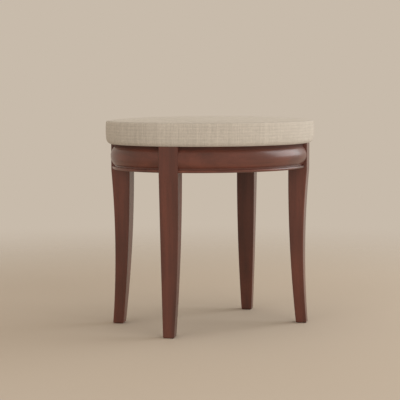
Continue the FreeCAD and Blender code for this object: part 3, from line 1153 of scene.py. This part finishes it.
    def _lay_cloth(self, piece: Piece, form: RingMesh, kinds: Sequence[int],
                   runs: Points, seam: int) -> None:
        """Write the place on the cloth of each face corner, for the weave.

        Args:
            piece: The pad.
            form: Its rings.
            kinds: The ring of each face.
            runs: Distance of each outer row from the seam.
            seam: Number of the seam's row.
        """
        mesh, n = piece.data, form.around
        vertex = np.zeros(len(mesh.loops), int)
        mesh.loops.foreach_get("vertex_index", vertex)
        points = np.array([v.co for v in mesh.vertices])
        kind = np.repeat(np.array(kinds), 4)
        last = np.repeat(np.arange(len(kinds)) % n == n - 1, 4) & (kind >= 0)
        row = vertex // n - form.first_outer
        run = np.full(len(row), self.far_from_seam)
        outer = (row >= 0) & (row < len(runs))
        run[outer] = runs[row[outer]]
        station = vertex % n
        round_run = self.plan.run_round(self.section.overhang)
        along = round_run[np.where(last & (station == 0), n, station)] - round_run[-1] / 2
        band = (kind >= form.first_outer) & (kind - form.first_outer < seam)
        across = np.where(band, along, points[vertex, 0])
        down = np.where(band, run, points[vertex, 1])
        from_seam = np.where(band, np.minimum(run, -1e-6), np.maximum(run, 1e-6))
        cloth = np.column_stack((across, down, from_seam)).astype(np.float32)
        laid = mesh.attributes.new("cloth", "FLOAT_VECTOR", "CORNER")
        laid.data.foreach_set("vector", cloth.ravel())


@dataclass
class DustCover:
    """Thin black cloth stapled under the seat, which sags a little inside the rails."""

    plan: OvalPlan = OvalPlan()
    offset: float = -12 * MM
    clamped_to: float = -42 * MM
    inmost: float = -120 * MM
    bottom: float = 404 * MM
    thickness: float = 0.5 * MM
    sag: float = 1.0 * MM
    pull: float = 0.3 * MM
    sag_reach: float = 100 * MM
    pull_start: float = 8 * MM
    pull_reach: float = 25 * MM
    staple_pitch: float = 30 * MM
    rings: int = 30
    flat: tuple[float, float] = (438 * MM, 360 * MM)
    area: float = 0.1229

    def build(self) -> Piece:
        """Make the cloth and dress it.

        Returns:
            The cloth.
        """
        steps = np.linspace(self.offset, self.inmost, self.rings + 1).tolist()
        upper = [(step, self.bottom + self.thickness) for step in steps]
        lower = [(step, self.bottom) for step in steps]
        form = RingMesh(self.plan, upper, lower)
        points = form.vertices()
        points[:, 2] -= self._hang(points)
        faces, _ = form.faces()
        piece = mesh_object("dust_cover", points, faces)
        dress(piece, BlackCloth().material())
        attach(piece, "root")
        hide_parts("seat_dust_cover")
        return piece

    def _hang(self, points: Points) -> Points:
        """How far the cloth hangs below its clamped edge, with a pull at each staple.

        Args:
            points: Its points.

        Returns:
            The drop at each point.
        """
        inside = self.clamped_to - self.plan.offset_of(points)
        share = np.clip(inside / self.sag_reach, 0, 1)
        middle = share * share * (3 - 2 * share)
        angle = np.arctan2(points[:, 1], points[:, 0])
        waves = 0.5 - 0.5 * np.cos(angle * 2 * math.pi * self.plan.half_width / self.staple_pitch)
        near = np.clip(inside / self.pull_start, 0, 1)
        near = near * np.exp(-np.maximum(inside, 0) / self.pull_reach)
        return self.sag * middle + self.pull * waves * near


@dataclass(frozen=True)
class Lamp:
    """A soft lamp, hung at angles in degrees from the front to the right and up from the seat."""

    name: str
    azimuth: float
    elevation: float
    distance: float
    size: tuple[float, float]
    power: float
    colour: Colour = (1.0, 0.98, 0.96)
    mirrored: bool = False
    faces_up: bool = False


@dataclass
class Studio:
    """Camera, soft lights and a plain pale floor."""

    eye: tuple[float, float, float] = (-1.6566, -2.5331, 0.5367)
    heading: tuple[float, float] = (0.5406, 0.8413)
    pitch: float = -4.921
    lens: float = 122.5
    sensor: float = 36.0
    clip: tuple[float, float] = (0.05, 60.0)
    seat_height: float = 0.4
    floor_radius: float = 2.3
    floor_sides: int = 96
    surroundings: Colour = linear(200, 187, 171)
    lamps: tuple[Lamp, ...] = (
        Lamp("right_window", 74, 21.5, 2.6, (2.0, 1.9), 33, (0.95, 0.98, 1.0), mirrored=True),
        Lamp("front_fill", 4, 24, 3.2, (2.4, 1.8), 18),
        Lamp("left_fill", -70, 22, 3.0, (2.0, 2.0), 12),
        Lamp("top_fill", 10, 78, 2.6, (2.2, 2.2), 9),
        Lamp("floor_bounce", 5, -18, 1.25, (2.4, 1.4), 9, faces_up=True),
    )

    def build(self) -> None:
        """Set the stage."""
        self._camera()
        self._floor()
        self._world()
        for lamp in self.lamps:
            self._hang(lamp)

    def _camera(self) -> None:
        """Place the camera where the photograph was taken from."""
        data = bpy.data.cameras.new("view_of_photograph")
        data.lens, data.sensor_width, data.sensor_fit = self.lens, self.sensor, "HORIZONTAL"
        data.clip_start, data.clip_end = self.clip
        camera = bpy.data.objects.new("view_of_photograph", data)
        camera.location = self.eye
        yaw = math.atan2(-self.heading[0], self.heading[1])
        camera.rotation_euler = (math.radians(90 + self.pitch), 0.0, yaw)
        bpy.context.scene.collection.objects.link(camera)
        bpy.context.scene.camera = camera

    def _floor(self) -> None:
        """A wide round floor."""
        turns = [2 * math.pi * i / self.floor_sides for i in range(self.floor_sides)]
        rim = np.column_stack((np.cos(turns), np.sin(turns), np.zeros(self.floor_sides)))
        floor = mesh_object("studio_floor", self.floor_radius * rim, [range(self.floor_sides)])
        dress(floor, PaleFloor().material())

    def _world(self) -> None:
        """Even pale surroundings."""
        world = bpy.data.worlds.new("pale_surroundings")
        world.use_nodes = True
        sky = world.node_tree.nodes["Background"]
        sky.inputs["Color"].default_value = (*self.surroundings, 1.0)
        sky.inputs["Strength"].default_value = 1.0
        bpy.context.scene.world = world
        bpy.context.scene.view_settings.view_transform = "Standard"

    def _hang(self, lamp: Lamp) -> None:
        """Add a soft lamp.

        Args:
            lamp: Its name, place, size and power.
        """
        data = bpy.data.lights.new(lamp.name, "AREA")
        data.shape, data.size, data.size_y = "RECTANGLE", *lamp.size
        data.energy, data.color = lamp.power, lamp.colour
        hung = bpy.data.objects.new(lamp.name, data)
        azimuth, elevation = math.radians(lamp.azimuth), math.radians(lamp.elevation)
        level = math.cos(elevation)
        away = Vector((math.sin(azimuth) * level, -math.cos(azimuth) * level, math.sin(elevation)))
        hung.location = Vector((0, 0, self.seat_height)) + away * lamp.distance
        back = Vector((0, 0, -1)) if lamp.faces_up else away
        hung.rotation_euler = back.to_track_quat("Z", "Y").to_euler()
        hung.visible_camera = False
        hung.visible_glossy = lamp.mirrored
        bpy.context.scene.collection.objects.link(hung)


def main() -> None:
    """Build and dress the stool, then the studio."""
    logging.basicConfig(level=logging.INFO, format="%(name)s: %(message)s")
    Frame().dress()
    Underframe().dress()
    Pad().build()
    DustCover().build()
    Studio().build()


if __name__ == "__main__":
    main()
